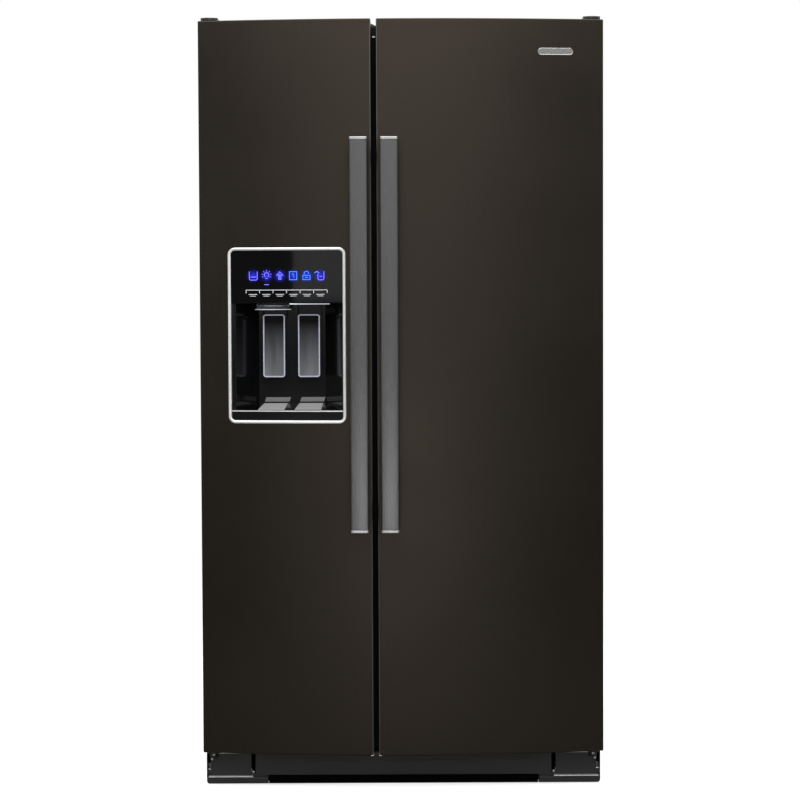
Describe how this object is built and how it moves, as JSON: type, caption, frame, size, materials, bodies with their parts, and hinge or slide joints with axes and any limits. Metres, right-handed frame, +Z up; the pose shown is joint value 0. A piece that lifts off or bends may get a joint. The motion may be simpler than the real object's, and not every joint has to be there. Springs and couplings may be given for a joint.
{
  "type": "side by side refrigerator",
  "caption": "Free-standing side by side refrigerator with bowed dark steel doors, bar handles, an ice and water dispenser and a fitted interior.",
  "frame": {"origin": "on the floor, under the middle of the whole object's box", "axes": "+X to the right seen from the front, doors face -Y, +Z up"},
  "size_m": [0.911, 0.857, 1.745],
  "materials": {
    "cabinet_paint": "semi-gloss textured paint",
    "galvanised_steel": "zinc coated",
    "foam": "rigid foam",
    "white_plastic": "vacuum formed, satin",
    "white_wire": "coated wire",
    "grille_plastic": "moulded, fine grain",
    "bright_steel": "plated",
    "roller_plastic": "moulded",
    "black_paint": "gloss enamel",
    "motor_grey": "moulded",
    "fan_plastic": "moulded",
    "valve_plastic": "moulded",
    "black_rubber": "moulded",
    "fin_aluminium": "bare",
    "shelf_glass": "tempered",
    "clear_bin": "clear moulded",
    "gasket_vinyl": "soft vinyl",
    "black_stainless": "dark coated, fine brush",
    "handle_metal": "satin",
    "bright_trim": "satin chrome",
    "recess_plastic": "moulded",
    "black_glass": "high gloss",
    "paddle_plastic": "translucent smoke",
    "smoke_plastic": "translucent smoke",
    "tray_plastic": "moulded"
  },
  "bodies": {
    "cabinet": {"cabinet_wrapper": "cabinet_paint", "cabinet_back": "galvanised_steel", "rear_access_cover": "galvanised_steel", "cabinet_foam": "foam", "front_frame": "cabinet_paint", "freezer_liner": "white_plastic", "fridge_liner": "white_plastic", "base_pan": "galvanised_steel", "base_grille": "grille_plastic", "bottom_hinges": "bright_steel", "top_hinges": "bright_steel", "hinge_covers": "grille_plastic", "roller_brackets": "galvanised_steel", "compressor": "black_paint", "condenser": "black_paint", "fan_motor": "motor_grey", "drain_pan": "grille_plastic", "water_valve": "valve_plastic", "power_cord_gland": "black_rubber", "evaporator": "fin_aluminium", "evaporator_cover": "white_plastic", "icemaker": "white_plastic", "freezer_shelves": "white_wire", "fridge_shelves": "shelf_glass", "water_filter": "white_plastic"},
    "freezer_door": {"freezer_door_skin": "black_stainless", "freezer_door_foam": "foam", "freezer_door_liner": "white_plastic", "freezer_door_caps": "grille_plastic", "freezer_gasket": "gasket_vinyl", "freezer_door_bins": "clear_bin", "freezer_handle": "handle_metal", "freezer_handle_ends": "bright_trim", "dispenser_housing": "recess_plastic", "dispenser_bezel": "bright_trim", "dispenser_panel": "black_glass", "ice_chute": "smoke_plastic", "drip_tray": "tray_plastic", "ice_bin": "clear_bin"},
    "fridge_door": {"fridge_door_skin": "black_stainless", "fridge_door_foam": "foam", "fridge_door_liner": "white_plastic", "fridge_door_caps": "grille_plastic", "fridge_gasket": "gasket_vinyl", "fridge_door_bins": "clear_bin", "fridge_handle": "handle_metal", "fridge_handle_ends": "bright_trim"},
    "upper_crisper": {"crisper_upper": "clear_bin"},
    "lower_crisper": {"crisper_lower": "clear_bin"},
    "basket": {"freezer_basket": "white_plastic"},
    "dairy_flap": {"dairy_flap": "clear_bin"},
    "ice_paddle": {"ice_paddle": "paddle_plastic"},
    "water_paddle": {"water_paddle": "paddle_plastic"},
    "condenser_fan": {"condenser_fan": "fan_plastic"},
    "evaporator_fan": {"evaporator_fan": "fan_plastic"},
    "left_leg": {"leveling_leg_left": "bright_steel"},
    "right_leg": {"leveling_leg_right": "bright_steel"},
    "front_left_roller": {"front_roller_left": "roller_plastic"},
    "front_right_roller": {"front_roller_right": "roller_plastic"},
    "rear_rollers": {"rear_rollers": "roller_plastic"}
  },
  "joints": [
    {"name": "freezer_door_hinge", "type": "hinge", "parent": "cabinet", "child": "freezer_door", "pos_m": [-0.4335, -0.3095, 0.078], "axis": [0, 0, -1], "range_deg": [0, 130]},
    {"name": "fridge_door_hinge", "type": "hinge", "parent": "cabinet", "child": "fridge_door", "pos_m": [0.4335, -0.3095, 0.078], "axis": [0, 0, 1], "range_deg": [0, 130]},
    {"name": "upper_crisper_slide", "type": "slide", "parent": "cabinet", "child": "upper_crisper", "axis": [0, -1, 0], "range_m": [0, 0.25]},
    {"name": "lower_crisper_slide", "type": "slide", "parent": "cabinet", "child": "lower_crisper", "axis": [0, -1, 0], "range_m": [0, 0.25]},
    {"name": "freezer_basket_slide", "type": "slide", "parent": "cabinet", "child": "basket", "axis": [0, -1, 0], "range_m": [0, 0.25]},
    {"name": "dairy_flap_hinge", "type": "hinge", "parent": "fridge_door", "child": "dairy_flap", "pos_m": [0.19425, -0.1895, 1.638], "axis": [1, 0, 0], "range_deg": [0, 80]},
    {"name": "ice_paddle_hinge", "type": "hinge", "parent": "freezer_door", "child": "ice_paddle", "pos_m": [-0.292, -0.2764, 1.07], "axis": [1, 0, 0], "range_deg": [0, 8], "stiffness_Nm_per_rad": 0.5, "springref_deg": -2.86},
    {"name": "water_paddle_hinge", "type": "hinge", "parent": "freezer_door", "child": "water_paddle", "pos_m": [-0.212, -0.2764, 1.07], "axis": [1, 0, 0], "range_deg": [0, 8], "stiffness_Nm_per_rad": 0.5, "springref_deg": -2.86},
    {"name": "condenser_fan_spin", "type": "hinge", "parent": "cabinet", "child": "condenser_fan", "pos_m": [0.02, 0.2975, 0.16], "axis": [1, 0, 0], "continuous": true},
    {"name": "evaporator_fan_spin", "type": "hinge", "parent": "cabinet", "child": "evaporator_fan", "pos_m": [-0.24425, 0.3255, 0.84], "axis": [0, 1, 0], "continuous": true},
    {"name": "left_leg_turn", "type": "hinge", "parent": "cabinet", "child": "left_leg", "pos_m": [-0.3445, -0.2515, 0.02], "axis": [0, 0, 1], "continuous": true},
    {"name": "right_leg_turn", "type": "hinge", "parent": "cabinet", "child": "right_leg", "pos_m": [0.3445, -0.2515, 0.02], "axis": [0, 0, 1], "continuous": true},
    {"name": "front_left_roller_spin", "type": "hinge", "parent": "cabinet", "child": "front_left_roller", "pos_m": [-0.38, -0.1995, 0.022], "axis": [1, 0, 0], "continuous": true},
    {"name": "front_right_roller_spin", "type": "hinge", "parent": "cabinet", "child": "front_right_roller", "pos_m": [0.38, -0.1995, 0.022], "axis": [1, 0, 0], "continuous": true},
    {"name": "rear_rollers_spin", "type": "hinge", "parent": "cabinet", "child": "rear_rollers", "pos_m": [0, 0.3685, 0.022], "axis": [1, 0, 0], "continuous": true}
  ],
  "couplings": [
    {"joint": "upper_crisper_slide", "follows": "fridge_door_hinge", "m_per_rad": 0.11},
    {"joint": "lower_crisper_slide", "follows": "fridge_door_hinge", "m_per_rad": 0.11},
    {"joint": "freezer_basket_slide", "follows": "freezer_door_hinge", "m_per_rad": 0.11}
  ]
}
